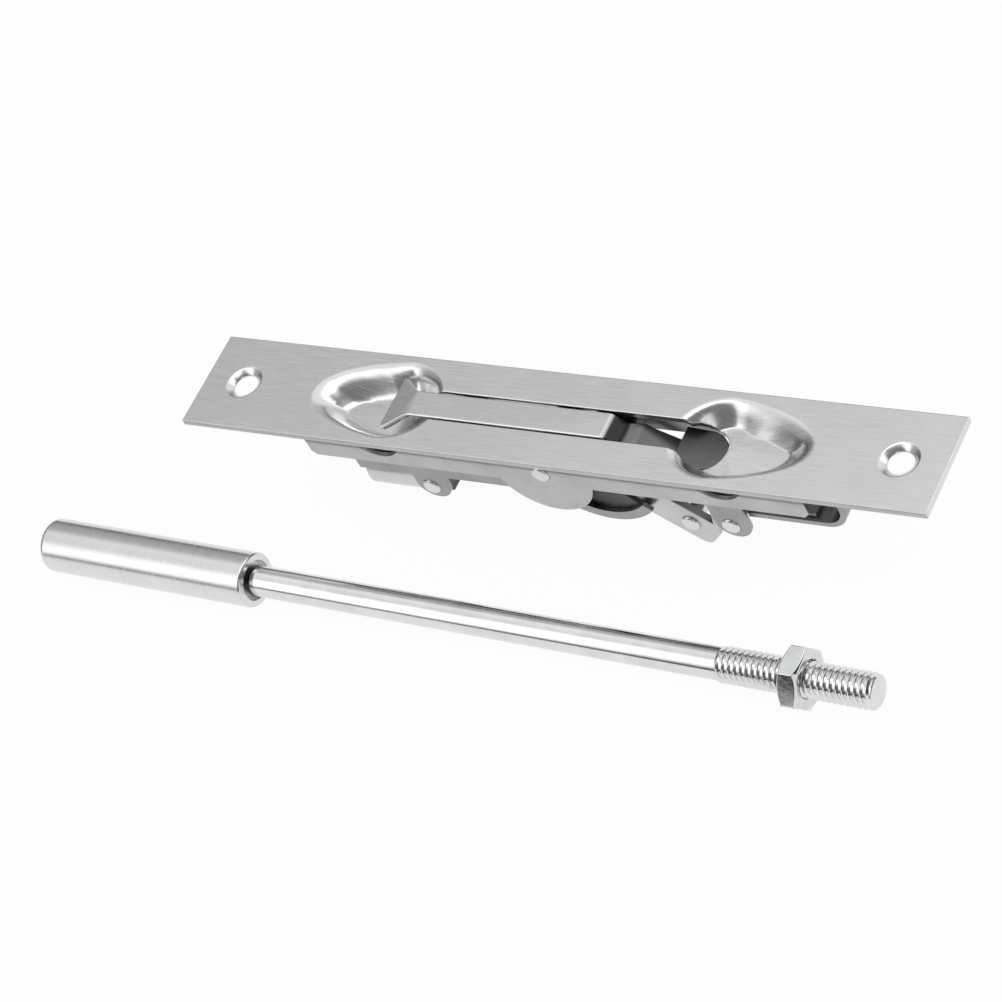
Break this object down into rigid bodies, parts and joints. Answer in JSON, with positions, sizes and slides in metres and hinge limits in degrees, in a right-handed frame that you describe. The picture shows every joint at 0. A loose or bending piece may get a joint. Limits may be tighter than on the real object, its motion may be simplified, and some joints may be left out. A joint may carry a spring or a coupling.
{
  "type": "door bolt",
  "caption": "Lever flush door bolt: face plate with finger recesses, flip lever and slide, with a separate threaded extension rod, bolt head and lock nut.",
  "frame": {"origin": "centre of the face plate's back face, midway between its two screw holes", "axes": "+X along the plate away from the rod coupling, +Y across the plate away from the loose rod, +Z out of the plate's face"},
  "size_m": [0.2273, 0.0611, 0.0295],
  "materials": {
    "plate_stainless": "brushed along its length",
    "lever_stainless": "brushed, edges polished",
    "pressed_steel": "pressed sheet, satin",
    "strap_steel": "pressed sheet, satin",
    "slide_steel": "pressed sheet, satin",
    "shield_steel": "dark, plain",
    "pin_steel": "turned, bright",
    "coupling_steel": "turned, satin",
    "head_steel": "turned, satin",
    "rod_zinc": "bright plated",
    "nut_zinc": "bright plated"
  },
  "bodies": {
    "root": {"faceplate": "plate_stainless", "side_wall_front": "pressed_steel", "side_wall_rear": "pressed_steel", "end_strap_left": "strap_steel", "end_strap_right": "strap_steel", "pivot_pin": "pin_steel", "hub_washers": "pin_steel"},
    "lever": {"lever_handle": "lever_stainless", "finger_tab": "lever_stainless", "crank_bridge": "lever_stainless", "crank_cheek_front": "pressed_steel", "crank_cheek_rear": "pressed_steel", "hub_bush": "pin_steel", "crank_pin": "pin_steel"},
    "slide": {"slide_rail_front": "slide_steel", "slide_rail_rear": "slide_steel", "slide_plate_left": "slide_steel", "slide_plate_right": "slide_steel", "hook_shields": "shield_steel", "guide_studs": "pin_steel", "coupling_pin": "pin_steel", "rod_coupling": "coupling_steel", "coupling_collars": "pin_steel"},
    "rod": {"bolt_head": "head_steel", "rod_shank": "rod_zinc", "head_ring": "head_steel"},
    "nut": {"lock_nut": "nut_zinc"}
  },
  "joints": [
    {"name": "lever_flip", "type": "hinge", "parent": "root", "child": "lever", "pos_m": [-0.0012, 0, -0.0054], "axis": [0, 1, 0], "range_deg": [0, 143]},
    {"name": "slide_travel", "type": "slide", "parent": "root", "child": "slide", "axis": [-1, 0, 0], "range_m": [0, 0.0094]},
    {"name": "rod_apart", "type": "slide", "parent": "root", "child": "rod", "axis": [0, -1, 0], "range_m": [0, 0.04]},
    {"name": "nut_run", "type": "slide", "parent": "rod", "child": "nut", "axis": [0.9998, -0.0216, 0], "range_m": [-0.016, 0.012]}
  ],
  "couplings": [
    {"joint": "slide_travel", "follows": "lever_flip", "m_per_rad": 0.003766}
  ]
}
